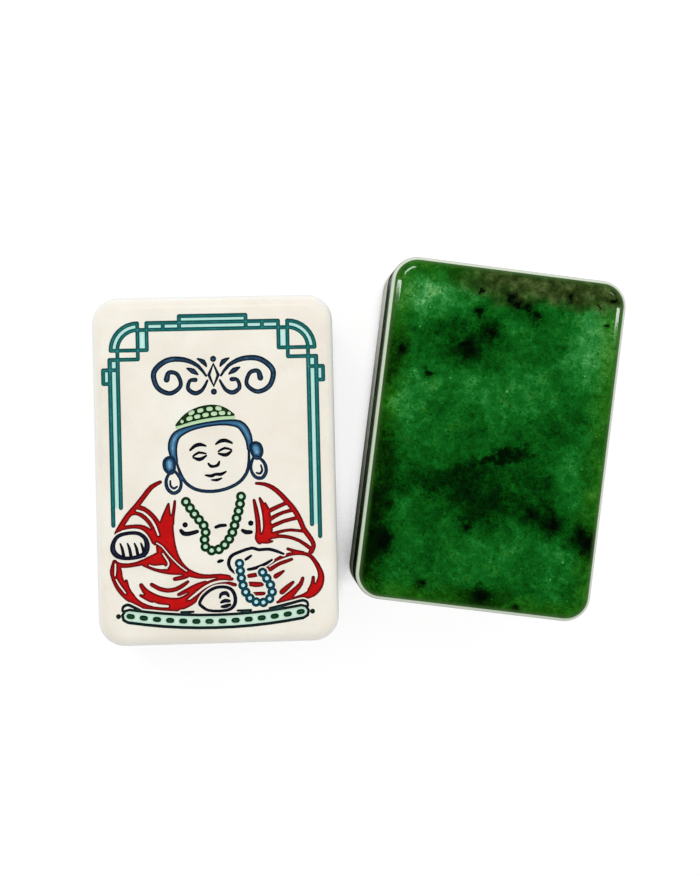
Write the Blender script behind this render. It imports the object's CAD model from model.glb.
"""Looks of a pair of two-layer game tiles, one lying face up and one face down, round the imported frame."""

import math

import bpy
from mathutils import Matrix, Vector
from mathutils.bvhtree import BVHTree


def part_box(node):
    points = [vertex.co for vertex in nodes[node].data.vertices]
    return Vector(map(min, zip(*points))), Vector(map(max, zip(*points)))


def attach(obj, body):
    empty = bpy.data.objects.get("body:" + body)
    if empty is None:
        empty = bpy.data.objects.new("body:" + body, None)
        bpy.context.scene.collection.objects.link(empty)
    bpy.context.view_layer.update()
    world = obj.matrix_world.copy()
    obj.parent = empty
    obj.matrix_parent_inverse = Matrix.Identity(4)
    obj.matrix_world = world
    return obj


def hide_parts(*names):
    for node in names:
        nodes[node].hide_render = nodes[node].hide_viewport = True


MM = 0.001

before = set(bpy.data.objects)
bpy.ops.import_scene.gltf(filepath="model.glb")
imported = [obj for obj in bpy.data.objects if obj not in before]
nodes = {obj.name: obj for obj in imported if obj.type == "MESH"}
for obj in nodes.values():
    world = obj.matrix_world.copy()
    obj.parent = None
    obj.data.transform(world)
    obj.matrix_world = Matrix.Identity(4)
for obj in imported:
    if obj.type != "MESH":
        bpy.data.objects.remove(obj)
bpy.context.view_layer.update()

# The face-up tile lies round the origin, so the frame gives its half width, half length and thickness
HALF_WIDTH, HALF_LENGTH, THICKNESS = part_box("faceup_face_layer")[1]

# The face-down tile is the same tile, turned over about its length and laid beside it
PAIR_PLACE = Vector((26.4, 2.3, 0)) * MM
PAIR_TURN = math.radians(-8.4)
TURNED_OVER = (
    Matrix.Translation(PAIR_PLACE)
    @ Matrix.Rotation(PAIR_TURN, 4, "Z")
    @ Matrix.Translation((0, 0, THICKNESS))
    @ Matrix.Rotation(math.pi, 4, "Y")
)

# The camera's place in mm, its turn in degrees and its lens in mm, above the pair and a little to its left
CAMERA_PLACE = (4.32, 2.87, 175.78)
CAMERA_TURN = (0.044, -2.981, -1.323)
CAMERA_LENS = 70.57
CAMERA_SENSOR = 36


def make_camera():
    data = bpy.data.cameras.new("camera")
    data.sensor_width = CAMERA_SENSOR
    data.lens = CAMERA_LENS
    data.clip_start = 1 * MM
    camera = bpy.data.objects.new("camera", data)
    camera.location = Vector(CAMERA_PLACE) * MM
    camera.rotation_euler = [math.radians(turn) for turn in CAMERA_TURN]
    bpy.context.scene.collection.objects.link(camera)
    bpy.context.scene.camera = camera


# The shape of the paints

# Points this close are one point, and points this close in height are on one level
SAME_POINT = 0.001 * MM
SAME_LEVEL = 0.01 * MM
# How much a face's normal rises where the face looks up, and the most that it rises on a wall
UP = 0.9
WALL = 0.5
# The longest edge on a paint's finished top, and the most rounds of cuts that it takes
LONGEST_EDGE = 0.13 * MM
MOST_CUTS = 9
# How deep a paint's middle sinks, how far from its wall it is that deep, and how wide its dark rim is
DIP = 0.06 * MM
DIP_REACH = 0.18 * MM
RIM_REACH = 0.34 * MM
# Edges that bend less than this are smooth
SMOOTH_ANGLE = math.radians(40)


def take(piece):
    """Selects this piece alone and makes it the active one."""
    bpy.ops.object.select_all(action="DESELECT")
    piece.select_set(True)
    bpy.context.view_layer.objects.active = piece


def merged_copy(node, name):
    """A copy of a CAD node's mesh as a piece of its own, with its loose triangles joined."""
    piece = bpy.data.objects.new(name, nodes[node].data.copy())
    bpy.context.scene.collection.objects.link(piece)
    piece.data.materials.clear()
    take(piece)
    bpy.ops.mesh.customdata_custom_splitnormals_clear()
    bpy.ops.object.mode_set(mode="EDIT")
    bpy.ops.mesh.select_all(action="SELECT")
    bpy.ops.mesh.remove_doubles(threshold=SAME_POINT)
    bpy.ops.object.mode_set(mode="OBJECT")
    return piece


def select_long_top_edges(mesh):
    """Selects the long edges of the upward faces, and says how many there are."""
    up = set()
    for face in mesh.polygons:
        if face.normal.z > UP:
            up.update(face.edge_keys)
    found = 0
    for edge in mesh.edges:
        start, end = (mesh.vertices[i].co for i in edge.vertices)
        edge.select = edge.key in up and (start - end).length > LONGEST_EDGE
        found += edge.select
    for vertex in mesh.vertices:
        vertex.select = False
    for face in mesh.polygons:
        face.select = False
    return found


def refine_top(piece):
    """Cuts the upward faces into small triangles."""
    take(piece)
    for _ in range(MOST_CUTS):
        if not select_long_top_edges(piece.data):
            break
        bpy.ops.object.mode_set(mode="EDIT")
        bpy.ops.mesh.select_mode(type="EDGE")
        bpy.ops.mesh.subdivide(number_cuts=1)
        bpy.ops.object.mode_set(mode="OBJECT")
        for face in piece.data.polygons:
            face.select = face.normal.z > UP
        bpy.ops.object.mode_set(mode="EDIT")
        bpy.ops.mesh.select_mode(type="FACE")
        bpy.ops.mesh.quads_convert_to_tris(quad_method="BEAUTY", ngon_method="BEAUTY")
        bpy.ops.object.mode_set(mode="OBJECT")


def wall_tree(mesh):
    """The paint's upright walls, for measuring how far a point lies from them."""
    walls = [face.vertices[:] for face in mesh.polygons if abs(face.normal.z) < WALL]
    return BVHTree.FromPolygons([vertex.co for vertex in mesh.vertices], walls)


def dish_paint(piece):
    """Sinks the paint's middle below its edges, and keeps in "edge" how near each point is to its wall."""
    walls = wall_tree(piece.data)
    refine_top(piece)
    mesh = piece.data
    top = max(vertex.co.z for vertex in mesh.vertices)
    edge = mesh.attributes.new("edge", "FLOAT", "POINT")
    for vertex in mesh.vertices:
        if vertex.co.z < top - SAME_LEVEL:
            edge.data[vertex.index].value = 1
            continue
        gap = walls.find_nearest(vertex.co)[3]
        edge.data[vertex.index].value = max(0, 1 - gap / RIM_REACH)
        share = min(1, gap / DIP_REACH)
        vertex.co.z -= DIP * share * share * (3 - 2 * share)
    bpy.ops.object.shade_smooth_by_angle(angle=SMOOTH_ANGLE)


# Shader nodes, with places in mm

# The Mix node's sockets for its share and its two colours, and for the colour that comes out
MIX_SHARE, MIX_FIRST, MIX_SECOND, MIX_OUT = 0, 6, 7, 2


def srgb(*levels):
    """A colour from its levels as they show, out of 255."""
    shown = [level / 255 for level in levels]
    return [v / 12.92 if v <= 0.04045 else ((v + 0.055) / 1.055) ** 2.4 for v in shown] + [1]


class Nodes:
    """A tree of shader nodes, with short ways to add to it."""

    def __init__(self, tree):
        self.tree = tree

    def feed(self, socket, value):
        if isinstance(value, bpy.types.NodeSocket):
            self.tree.links.new(value, socket)
        else:
            socket.default_value = value

    def node(self, kind, inputs=(), **settings):
        made = self.tree.nodes.new("ShaderNode" + kind)
        for key, value in settings.items():
            setattr(made, key, value)
        for key, value in dict(inputs).items():
            self.feed(made.inputs[key], value)
        return made

    def math(self, operation, *values):
        return self.node("Math", enumerate(values), operation=operation).outputs[0]

    def vector(self, operation, *values):
        return self.node("VectorMath", enumerate(values), operation=operation).outputs["Vector"]

    def axes(self, vector):
        return self.node("SeparateXYZ", {"Vector": vector}).outputs

    def total(self, first, *others):
        for value in others:
            first = self.math("ADD", first, value)
        return first

    def spread(self, value, low, high, to_low=0, to_high=1, way="LINEAR"):
        """The value carried in a straight line from one range to another, and held at its ends."""
        inputs = {"Value": value, "From Min": low, "From Max": high, "To Min": to_low, "To Max": to_high}
        return self.node("MapRange", inputs, interpolation_type=way).outputs[0]

    def eased(self, value, low, high, to_low=0, to_high=1):
        """The same with a soft start and end."""
        return self.spread(value, low, high, to_low, to_high, "SMOOTHSTEP")

    def mixed(self, share, first, second):
        colors = {MIX_SHARE: share, MIX_FIRST: first, MIX_SECOND: second}
        return self.node("Mix", colors, data_type="RGBA").outputs[MIX_OUT]

    def ramp(self, value, stops):
        made = self.node("ValToRGB", {"Fac": value})
        elements = made.color_ramp.elements
        while len(elements) < len(stops):
            elements.new(0.5)
        for element, (at, color) in zip(elements, stops):
            element.position = at
            element.color = color
        return made.outputs[0]

    def place(self, location=(0, 0, 0), turn=(0, 0, 0)):
        """The point's place on the piece, in axes that the location and turn set."""
        coordinates = self.node("TexCoord").outputs["Object"]
        inputs = {"Vector": coordinates, "Location": location, "Rotation": turn, "Scale": (1 / MM,) * 3}
        return self.node("Mapping", inputs).outputs[0]

    def noise(self, place, scale, detail, roughness=0.5, distortion=0, out="Fac"):
        """Cloudy noise, where a larger scale makes smaller clouds and more detail makes finer ones in them."""
        inputs = {
            "Vector": place,
            "Scale": scale,
            "Detail": detail,
            "Roughness": roughness,
            "Distortion": distortion,
        }
        return self.node("TexNoise", inputs).outputs[out]

    def shifted(self, place, scale, amount):
        """The place moved about by noise, so that what it draws has ragged outlines."""
        wave = self.noise(place, scale, 3, 0.6, out="Color")
        centred = self.vector("SUBTRACT", wave, (0.5, 0.5, 0.5))
        return self.vector("ADD", place, self.vector("MULTIPLY", centred, (amount,) * 3))

    def flattened(self, place):
        """The place with no height, so that what it draws runs straight through the layer."""
        return self.vector("MULTIPLY", place, (1, 1, 0))

    def ellipse(self, place, at, long, wide, turn=0):
        """How far the point lies from an ellipse's middle, where 1 is its outline."""
        inputs = {
            "Vector": place,
            "Location": (*at, 0),
            "Rotation": (0, 0, math.radians(turn)),
            "Scale": (long, wide, 1),
        }
        inside = self.node("Mapping", inputs, vector_type="TEXTURE").outputs[0]
        return self.node("VectorMath", {0: inside}, operation="LENGTH").outputs["Value"]

    def levelness(self):
        """How level the surface is: 1 on a flat top, 0 on an upright wall."""
        normal = self.node("NewGeometry").outputs["Normal"]
        return self.math("ABSOLUTE", self.axes(normal)["Z"])


class Finish(Nodes):
    """A material, whose shader's own sockets hold what is the same all over."""

    def __init__(self, name, **constants):
        self.material = bpy.data.materials.new(name)
        self.material.use_nodes = True
        super().__init__(self.material.node_tree)
        self.shader = self.tree.nodes["Principled BSDF"]
        for key, value in constants.items():
            self.set(key.replace("_", " "), value)

    def set(self, socket, value):
        self.feed(self.shader.inputs[socket], value)

    def bump(self, height, strength, distance):
        made = self.node("Bump", {"Height": height, "Strength": strength, "Distance": distance})
        self.set("Normal", made.outputs[0])


# The green marbled back

# The face-up tile's back lies on the table, and its marbling is the same kind from another place, in mm
FACEUP_START = (40, 12, 3)
# Between which places the face-down tile's olive band fades in, across and along in mm, and its strength
OLIVE_BAND = ((-7.0, -1.5), (12.5, 14.8))
OLIVE_SHARE = 0.92
# How far in from the tile's sides and ends the leafy green starts, and how far in it is full, in mm
LEAFY_SIDE = 3.2
LEAFY_END = 2.9
LEAFY_FULL = 0.2
# How much a blotch changes the lightness, and how much the halo of a speck does
BLOTCH_CHANGE = 0.3
HALO_CHANGE = -0.2
# The fibres' angles and how they lean into the layer, in radians, and their length and width in mm
FIBRE_ANGLES = (0.35, 1.3, 2.1, 2.8)
FIBRE_LEAN = 0.3
FIBRE_LONG = 1.7
FIBRE_WIDE = 0.42
# Specks on the face-down tile's back: across, along and radius in mm
SPECKS = [
    (-2.8, 14.0, 0.25), (-2.8, 11.9, 0.35), (0.2, 13.7, 0.5), (0.8, 13.2, 0.3), (1.8, 12.9, 0.4),
    (2.8, 12.2, 0.4), (-9.6, 7.5, 0.5), (-3.6, 8.7, 0.4), (-2.9, 8.1, 0.45), (-1.2, 10.2, 0.5),
    (-6.8, 5.5, 0.35), (8.7, 13.8, 0.2), (9.6, 12.1, 0.2), (5.8, 14.3, 0.35), (10.1, 14.6, 0.35),
    (-1.4, -8.6, 0.4), (4.6, -6.7, 0.35), (6.8, -7.4, 0.65), (9.6, -8.0, 0.45), (10.4, -8.8, 0.6),
    (-9.3, -11.1, 0.6), (-8.9, -10.4, 0.35), (-10.2, -10.2, 0.3), (-5.2, -14.4, 0.35), (0.7, -15.0, 0.55),
    (4.2, -15.8, 0.25),
]
# Blotches there: across, along, half length and half width in mm, turn in degrees, and how light they are
BLOTCHES = [
    (-7.4, 12.8, 4.2, 2.2, -12, 1.2), (8.6, 10.2, 2.8, 5.6, 0, 0.9), (-3.4, 4.6, 5.0, 3.4, 10, 0.3),
    (-8.5, 3.0, 3.2, 2.2, 0, 0.5), (-8.0, -7.3, 1.7, 1.4, 0, 0.5), (1.9, -11.2, 4.4, 2.4, -8, 0.3),
    (7.6, -3.4, 1.5, 4.6, 4, 0.6), (3.5, 4.6, 4.4, 3.0, 15, 0.35), (7.4, -10.8, 2.6, 1.8, 0, 0.35),
    (-4.0, 9.2, 3.8, 3.0, -20, -0.6), (-5.9, 10.4, 1.8, 1.3, 0, -0.5), (-4.2, 7.9, 1.5, 1.0, 30, -0.4),
    (-1.9, 10.4, 1.1, 1.3, 0, -0.35), (-0.6, -6.9, 4.0, 3.2, 0, -0.6), (-4.6, -4.3, 5.6, 1.0, 18, -0.7),
    (0.8, -1.7, 3.4, 0.5, 13, -1.4), (-10.2, -6.5, 1.8, 7.0, 0, -1.2), (-10.6, -13, 2.2, 4.0, 0, -1.0),
    (5.8, 1.6, 3.4, 1.8, 30, -0.4), (1.0, -15.4, 6.0, 1.8, 0, -0.7), (6.6, -7.2, 2.6, 1.8, 0, -0.7),
    (9.8, -9.2, 1.8, 2.4, 0, -0.7), (-10.8, 4.0, 1.2, 7.0, 0, -0.6), (-0.5, -4.6, 9.6, 4.2, 6, -0.62),
]
# The greens from dark to light: emerald in the tile's middle, leafy near its edges, and olive in the band
EMERALD = [
    (0.0, srgb(0, 18, 1)),
    (0.2, srgb(2, 46, 4)),
    (0.42, srgb(8, 82, 16)),
    (0.6, srgb(18, 107, 32)),
    (0.8, srgb(52, 140, 64)),
    (1.0, srgb(124, 192, 126)),
]
LEAFY = [
    (0.0, srgb(2, 22, 0)),
    (0.2, srgb(10, 50, 1)),
    (0.42, srgb(22, 86, 8)),
    (0.6, srgb(42, 112, 24)),
    (0.8, srgb(80, 144, 56)),
    (1.0, srgb(140, 190, 110)),
]
OLIVE = [
    (0.1, srgb(18, 26, 8)),
    (0.4, srgb(38, 52, 18)),
    (0.65, srgb(56, 72, 32)),
    (1.0, srgb(94, 108, 62)),
]
SPECK_COLOR = srgb(1, 7, 1)
# The rounded edge is leafy near the flat back, and pale lower down
EDGE_LEAFY = srgb(58, 100, 38)
EDGE_PALE = srgb(228, 238, 218)


class Marble(Finish):
    """The back layer's green, with the patterns that its colours share, in the tile's own axes."""

    def __init__(self, name, location, turn):
        super().__init__(name, Roughness=0.06, IOR=1.55, Coat_Weight=0.3, Coat_Roughness=0.04)
        place = self.place(location, turn)
        self.bent = self.shifted(place, 0.6, 3.4)
        self.ragged = self.flattened(self.shifted(self.bent, 1.5, 0.8))
        self.dotted = self.flattened(self.shifted(self.shifted(place, 1.3, 1.4), 5, 0.6))
        self.cloud = self.noise(self.bent, 0.3, 5, 0.62, 0.4)
        self.mottle = self.noise(place, 2, 5, 0.68, 0.9)
        self.grain = self.noise(place, 7, 3, 0.7)
        self.patch = self.noise(place, 0.7, 3, 0.6)
        self.fibre = self.fibres(place)
        self.fleck = self.flecks(place)

    def fibres(self, place):
        """Thin light fibres that cross each other, clearer in some patches than in others."""
        most = 0
        for angle in FIBRE_ANGLES:
            size = (FIBRE_LONG, FIBRE_WIDE, 2 * FIBRE_WIDE)
            inputs = {"Vector": place, "Rotation": (FIBRE_LEAN, 0, angle), "Scale": size}
            along = self.node("Mapping", inputs, vector_type="TEXTURE").outputs[0]
            wave = self.math("SUBTRACT", self.noise(along, 1, 2, 0.5, 0.8), 0.5)
            ridge = self.eased(self.math("ABSOLUTE", wave), 0, 0.07, 1, 0)
            most = self.math("MAXIMUM", most, ridge)
        return self.math("MULTIPLY", most, self.eased(self.patch, 0.38, 0.62, 0.35, 1))

    def flecks(self, place):
        """Small light dots, in some of the cells of a fine net."""
        cells = self.node("TexVoronoi", {"Vector": place, "Scale": 1.1}).outputs
        dot = self.eased(cells["Distance"], 0.06, 0.14, 1, 0)
        kept = self.eased(self.axes(cells["Color"])["X"], 0.5, 0.9)
        return self.math("MULTIPLY", dot, kept)

    def lightness(self):
        """How light the green is, from 0 to 1, before its blotches and specks."""
        return self.total(
            self.spread(self.cloud, 0.32, 0.68, 0.24, 0.5),
            self.spread(self.mottle, 0.3, 0.7, -0.11, 0.11),
            self.spread(self.grain, 0.3, 0.7, -0.06, 0.06),
            self.math("MULTIPLY", self.fibre, 0.2),
            self.math("MULTIPLY", self.fleck, 0.3),
        )

    def blotched(self, lightness, blotches):
        """The lightness with its light and dark blotches."""
        for across, along, long, wide, turn, change in blotches:
            far = self.ellipse(self.ragged, (across, along), long, wide, turn)
            inside = self.eased(far, 0.1, 1.4, 1, 0)
            lightness = self.math("MULTIPLY_ADD", inside, BLOTCH_CHANGE * change, lightness)
        return lightness

    def specked(self, lightness, specks):
        """The lightness with a dark halo round each speck, and how much of a point is speck."""
        dots = 0
        for across, along, radius in specks:
            far = self.ellipse(self.dotted, (across, along), radius, radius)
            halo = self.eased(far, 0.5, 3.2, 1, 0)
            lightness = self.math("MULTIPLY_ADD", halo, HALO_CHANGE, lightness)
            dots = self.math("MAXIMUM", dots, self.eased(far, 0.3, 1.6, 1, 0))
        return lightness, dots

    def greens(self, lightness):
        """Emerald in the tile's middle, and leafy near its edges and in patches."""
        across, along = (self.math("ABSOLUTE", self.axes(self.bent)[axis]) for axis in "XY")
        side = self.eased(across, HALF_WIDTH / MM - LEAFY_SIDE, HALF_WIDTH / MM - LEAFY_FULL)
        end = self.eased(along, HALF_LENGTH / MM - LEAFY_END, HALF_LENGTH / MM - LEAFY_FULL)
        patches = self.eased(self.patch, 0.54, 0.78, 0, 0.5)
        leafy = self.math("MAXIMUM", self.math("MAXIMUM", side, end), patches)
        return self.mixed(leafy, self.ramp(lightness, EMERALD), self.ramp(lightness, LEAFY))

    def banded(self, color, band):
        """The colour with an olive band along the tile's end, which fades in across and along."""
        place = self.axes(self.bent)
        inside = self.math("MULTIPLY", self.eased(place["X"], *band[0]), self.eased(place["Y"], *band[1]))
        shade = self.total(
            self.spread(self.patch, 0.32, 0.68, 0, 0.6),
            self.spread(self.mottle, 0.3, 0.7, 0, 0.3),
            self.math("MULTIPLY", self.fibre, 0.22),
        )
        return self.mixed(self.math("MULTIPLY", inside, OLIVE_SHARE), color, self.ramp(shade, OLIVE))

    def edged(self, color):
        """The colour with a leafy line and a pale one along the rounded edge."""
        level = self.levelness()
        color = self.mixed(self.eased(level, 0.8, 0.985, 0.55, 0), color, EDGE_LEAFY)
        pale = self.math("MULTIPLY", self.eased(level, 0.15, 0.4), self.eased(level, 0.66, 0.74, 0.85, 0))
        return self.mixed(pale, color, EDGE_PALE)


def marbled(name, location, turn, specks=(), blotches=(), band=None):
    """The back's green: clouds, crossed fibres, flecks, specks and a pale rounded edge."""
    marble = Marble(name, location, turn)
    lightness = marble.blotched(marble.lightness(), blotches)
    lightness, dots = marble.specked(lightness, specks)
    color = marble.greens(lightness)
    if band:
        color = marble.banded(color, band)
    color = marble.mixed(dots, color, SPECK_COLOR)
    marble.set("Base Color", marble.edged(color))
    return marble.material


# The ivory face and the bond

IVORY = [(0.0, srgb(238, 231, 217)), (0.5, srgb(244, 238, 225)), (1.0, srgb(249, 244, 233))]
IVORY_EDGE = srgb(252, 250, 244)
BOND_COLORS = (srgb(150, 150, 134), srgb(186, 184, 168))


def ivory(name):
    """The face layer's ivory, whiter where its edges are rounded."""
    finish = Finish(name, IOR=1.5, Subsurface_Weight=0.12, Subsurface_Scale=0.6 * MM)
    place = finish.place()
    cloud = finish.noise(place, 0.16, 4, 0.55, 0.3)
    grain = finish.noise(place, 6, 3, 0.6)
    lightness = finish.math("MULTIPLY_ADD", grain, 0.25, cloud)
    color = finish.ramp(finish.spread(lightness, 0.42, 0.82), IVORY)
    rounded = finish.eased(finish.levelness(), 0.5, 0.985, 0.85, 0)
    finish.set("Base Color", finish.mixed(rounded, color, IVORY_EDGE))
    finish.set("Roughness", finish.spread(grain, 0.3, 0.7, 0.26, 0.36))
    finish.bump(grain, 0.08, 0.02 * MM)
    return finish.material


def bond_line(name):
    """The thin grey line of glue between the layers."""
    finish = Finish(name, Roughness=0.5)
    finish.set("Base Color", finish.mixed(finish.noise(finish.place(), 4, 3), *BOND_COLORS))
    return finish.material


# The paints

# Each paint: its CAD piece, the record's slot, and its colours at the wall, in the middle and where light
PAINTS = {
    "border_lines": ("teal_line", (8, 86, 84), (34, 128, 126), (74, 170, 170)),
    "border_fill": ("aqua_fill", (186, 230, 222), (208, 242, 235), (222, 248, 243)),
    "headline_ornament": ("slate_blue", (14, 30, 48), (36, 68, 102), (72, 112, 148)),
    "cap": ("cap_green", (10, 46, 14), (26, 78, 26), (60, 112, 50)),
    "cap_curls": ("curl_green", (190, 222, 178), (212, 236, 200), (226, 244, 216)),
    "head_lines": ("slate_line", (14, 38, 64), (36, 78, 114), (78, 126, 160)),
    "hair_fill": ("mid_blue", (50, 102, 138), (92, 148, 184), (144, 190, 212)),
    "face_and_body_lines": ("near_black", (8, 10, 24), (20, 24, 46), (46, 52, 84)),
    "robe": ("robe_red", (112, 2, 6), (190, 4, 6), (206, 14, 12)),
    "hand_and_foot_lines": ("dark_navy", (10, 12, 30), (26, 32, 62), (58, 66, 102)),
    "necklace_beads": ("bead_green", (4, 50, 18), (16, 80, 34), (46, 112, 58)),
    "necklace_bead_middles": ("bead_pale_green", (192, 226, 198), (214, 240, 218), (228, 247, 230)),
    "hand_beads": ("bead_teal", (2, 62, 76), (14, 96, 110), (44, 134, 146)),
    "hand_bead_middles": ("bead_pale_cyan", (188, 232, 238), (210, 243, 246), (226, 250, 252)),
    "seat_outline": ("seat_dark", (8, 28, 28), (24, 54, 52), (56, 88, 84)),
    "seat_band": ("seat_mint", (196, 226, 208), (216, 240, 224), (230, 247, 236)),
    "seat_studs": ("stud_green", (4, 50, 24), (10, 78, 38), (40, 110, 64)),
}


def paint(name, at_wall, in_middle, where_light):
    """Paint in an engraved groove: dark against the walls, clearer and uneven in the middle."""
    finish = Finish(name, Specular_IOR_Level=0.1)
    place = finish.place()
    pool = finish.noise(place, 1.3, 4, 0.6, 0.8)
    grain = finish.noise(place, 9, 4, 0.65)
    color = finish.mixed(finish.eased(pool, 0.42, 0.78), srgb(*in_middle), srgb(*where_light))
    color = finish.mixed(finish.eased(grain, 0.62, 0.8, 0, 0.5), color, srgb(*where_light))
    edge = finish.node("Attribute", attribute_name="edge").outputs["Fac"]
    ragged = finish.math("MULTIPLY_ADD", grain, 0.5, finish.math("SUBTRACT", edge, 0.25))
    finish.set("Base Color", finish.mixed(finish.eased(ragged, 0.15, 0.8), color, srgb(*at_wall)))
    finish.set("Roughness", finish.spread(grain, 0.3, 0.7, 0.34, 0.55))
    finish.bump(grain, 0.25, 0.03 * MM)
    return finish.material


# The pieces of both tiles


def give(piece, material):
    piece.data.materials.clear()
    piece.data.materials.append(material)


def ride_as(piece, body, node):
    """Puts a finished piece on its body, in place of its CAD node."""
    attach(piece, body)
    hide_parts(node)


def make_paints():
    """Each paint is made once, in the face-up tile, and copied into the face-down one."""
    for kind, (slot, *colors) in PAINTS.items():
        upper = merged_copy("faceup_" + kind, "faceup_paint_" + kind)
        dish_paint(upper)
        give(upper, paint(slot, *colors))
        lower = bpy.data.objects.new("facedown_paint_" + kind, upper.data.copy())
        bpy.context.scene.collection.objects.link(lower)
        lower.data.transform(TURNED_OVER)
        ride_as(upper, "faceup_tile", "faceup_" + kind)
        ride_as(lower, "facedown_tile", "facedown_" + kind)


def finish_layers():
    """The layers keep their CAD solids, with the ivory, the two greens and the bond line on them."""
    face = ivory("ivory")
    bond = bond_line("bond")
    to_middle = Matrix.Rotation(-PAIR_TURN, 4, "Z") @ -PAIR_PLACE / MM
    turn_back = (0, 0, -PAIR_TURN)
    backs = {
        "faceup": marbled("green_marble_faceup", FACEUP_START, (0, 0, 0)),
        "facedown": marbled("green_marble_facedown", to_middle, turn_back, SPECKS, BLOTCHES, OLIVE_BAND),
    }
    for side, back in backs.items():
        give(nodes[side + "_face_layer"], face)
        give(nodes[side + "_bond_film"], bond)
        give(nodes[side + "_back_layer"], back)


# The table, the sky and the lamps

# The table's side in metres
TABLE_SIZE = 6
# How much light the table gives back, and how much of its white a polished surface doesn't see
TABLE_WHITE = 0.86
MIRROR_LOSS = 0.5
# The grey that catches the pair's soft shadow, and how far from their walls it reaches
SHADOW_GREY = 0.2
SHADOW_REACH = 2.5 * MM
# Between which shares of open sky the shadow fades out, as it is seen and as it is mirrored
SHADOW_SEEN = (0.26, 0.6)
SHADOW_MIRRORED = (0.7, 1)
# How strongly the sky lights matte surfaces, and how bright a polished one sees it, from its foot upwards
SKY_LIGHT = 0.72
SKY_MIRRORED = [(0.05, 0.36), (0.16, 0.24), (0.32, 0.18), (0.6, 0.01)]
# Each lamp: its place, width and length in mm, its turn in degrees and its power in watts
SOFT_LAMPS = {
    "key": ((-135, 212, 314), 140, 140, 0, 0.5),
    "fill": ((279, 98, 291), 140, 140, 0, 0.3),
}
# These show as highlights along the polished edges, and light nothing else
WINDOWS = {
    "window_left": ((-219, 92, 307), 342, 3.2, -11.9, 0.055),
    "window_corner": ((5, 113, 307), 64, 56, 28, 0.08),
    "window_right": ((287, 16, 307), 241, 8, -5, 0.066),
    "window_small": ((162, 106, 307), 27, 40, -40, 0.012),
}


def grey(level):
    return (level, level, level, 1)


def table_white():
    """White wherever it is seen, with the pair's soft shadow on it, deepest close to their walls."""
    finish = Finish("white_table")
    finish.tree.nodes.remove(finish.shader)
    ray = finish.node("LightPath").outputs
    mirrored = finish.math("MAXIMUM", ray["Is Glossy Ray"], ray["Is Transmission Ray"])
    seen = finish.math("MAXIMUM", ray["Is Camera Ray"], mirrored)
    clear = finish.node("AmbientOcclusion", {"Distance": SHADOW_REACH}, samples=8).outputs["AO"]
    soft = finish.eased(clear, *SHADOW_SEEN)
    deep = finish.eased(clear, *SHADOW_MIRRORED)
    shade = finish.math("MULTIPLY_ADD", mirrored, finish.math("SUBTRACT", deep, soft), soft)
    catching = finish.mixed(shade, grey(0), grey(SHADOW_GREY))
    matte = finish.node("BsdfDiffuse", {"Color": finish.mixed(seen, grey(TABLE_WHITE), catching)})
    white = finish.math("MULTIPLY_ADD", mirrored, -MIRROR_LOSS, TABLE_WHITE)
    glow = finish.math("MULTIPLY", seen, finish.math("MULTIPLY", shade, white))
    shining = finish.node("Emission", {"Color": grey(1), "Strength": glow})
    both = finish.node("AddShader", {0: matte.outputs[0], 1: shining.outputs[0]})
    finish.feed(finish.tree.nodes["Material Output"].inputs["Surface"], both.outputs[0])
    return finish.material


def make_table():
    bpy.ops.mesh.primitive_plane_add(size=TABLE_SIZE, location=(0, 0, 0))
    table = bpy.context.object
    table.name = "floor"
    give(table, table_white())


def make_sky():
    """A white sky, which polished surfaces see as white low down and dark above."""
    world = bpy.data.worlds.new("sky")
    bpy.context.scene.world = world
    world.use_nodes = True
    sky = Nodes(world.node_tree)
    background = sky.tree.nodes["Background"].inputs
    ray = sky.node("LightPath").outputs
    height = sky.axes(sky.node("TexCoord").outputs["Generated"])["Z"]
    mirrored = sky.ramp(height, [(at, grey(level)) for at, level in SKY_MIRRORED])
    strength = sky.spread(ray["Is Glossy Ray"], 0, 1, SKY_LIGHT, mirrored)
    sky.feed(background["Color"], grey(1))
    sky.feed(background["Strength"], sky.math("MAXIMUM", strength, ray["Is Camera Ray"]))


def make_lamp(name, place, wide, long, turn, power, seen_by):
    """A flat lamp that faces down, and lights diffuse or glossy surfaces alone."""
    data = bpy.data.lights.new(name, "AREA")
    data.shape = "RECTANGLE"
    data.size = wide * MM
    data.size_y = long * MM
    data.energy = power
    lamp = bpy.data.objects.new(name, data)
    bpy.context.scene.collection.objects.link(lamp)
    lamp.location = Vector(place) * MM
    lamp.rotation_euler = (0, 0, math.radians(turn))
    lamp.visible_diffuse = seen_by == "diffuse"
    lamp.visible_glossy = seen_by == "glossy"


make_camera()
make_paints()
finish_layers()
make_table()
make_sky()
for lamp_name, setting in SOFT_LAMPS.items():
    make_lamp(lamp_name, *setting, "diffuse")
for lamp_name, setting in WINDOWS.items():
    make_lamp(lamp_name, *setting, "glossy")

bpy.context.scene.view_settings.view_transform = "Standard"
